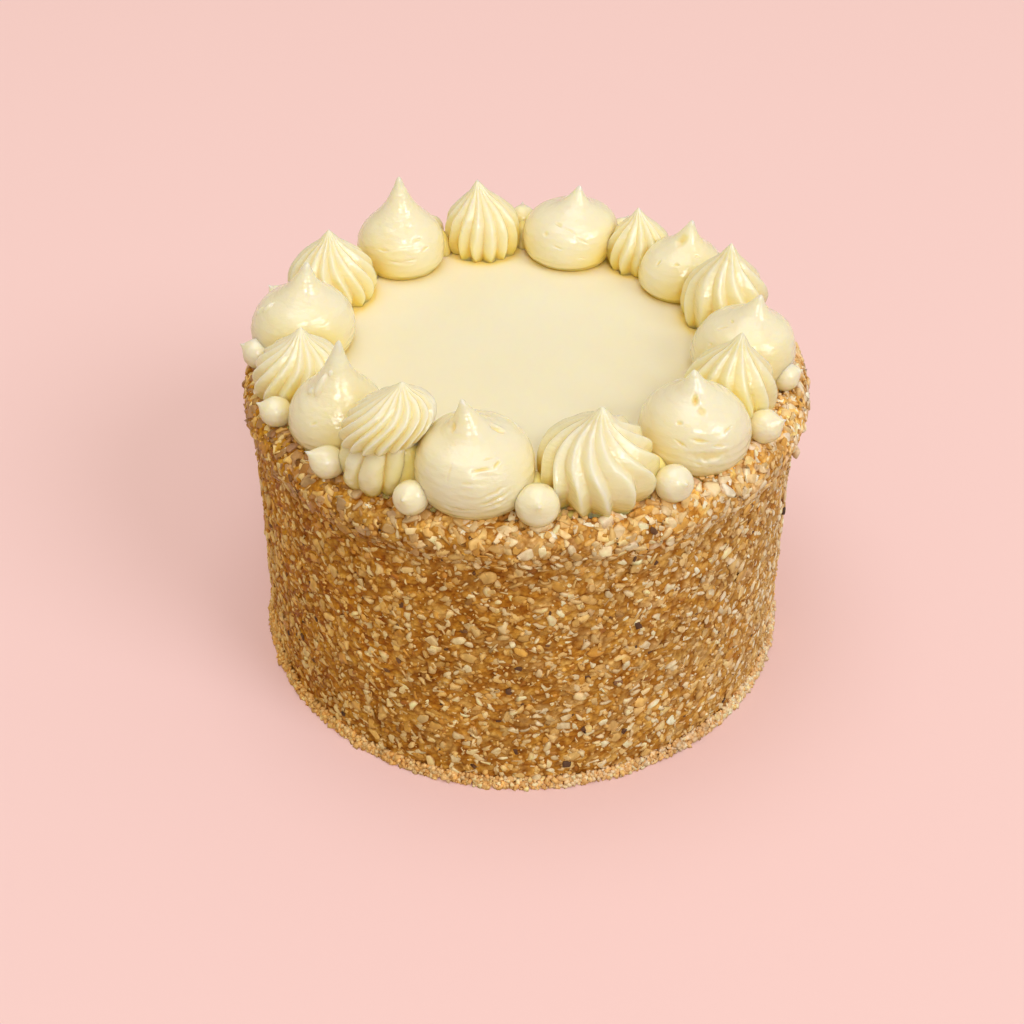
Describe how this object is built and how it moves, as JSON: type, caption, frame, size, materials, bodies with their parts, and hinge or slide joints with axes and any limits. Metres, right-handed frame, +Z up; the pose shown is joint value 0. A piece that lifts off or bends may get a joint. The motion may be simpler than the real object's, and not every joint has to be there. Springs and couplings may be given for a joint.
{
  "type": "sans rival cake",
  "caption": "Tall round cake coated in chopped roasted nuts, with a smooth cream top ringed by star-piped and plain cream kisses and small cream pearls.",
  "frame": {"origin": "middle of the cake's underside, on its axis", "axes": "+Z up along the cake's axis, -Y towards the front of the picture, +X to its right"},
  "size_m": [0.1541, 0.1536, 0.1169],
  "materials": {
    "nut_coat": "rough chopped nuts",
    "cream": "soft satin"
  },
  "bodies": {
    "root": {"cake_body": "nut_coat", "cream_top": "cream", "star_kiss_1": "cream", "star_kiss_2": "cream", "star_kiss_3": "cream", "star_kiss_4": "cream", "star_kiss_5": "cream", "star_kiss_6": "cream", "star_kiss_7": "cream", "star_kiss_8": "cream", "plain_kiss_1": "cream", "plain_kiss_2": "cream", "plain_kiss_3": "cream", "plain_kiss_4": "cream", "plain_kiss_5": "cream", "plain_kiss_6": "cream", "plain_kiss_7": "cream", "plain_kiss_8": "cream", "pearl_1": "cream", "pearl_2": "cream", "pearl_3": "cream", "pearl_4": "cream", "pearl_5": "cream", "pearl_6": "cream", "pearl_7": "cream", "pearl_8": "cream", "pearl_9": "cream", "pearl_10": "cream", "pearl_11": "cream", "pearl_12": "cream", "pearl_13": "cream", "pearl_14": "cream", "pearl_15": "cream", "pearl_16": "cream"}
  },
  "joints": []
}
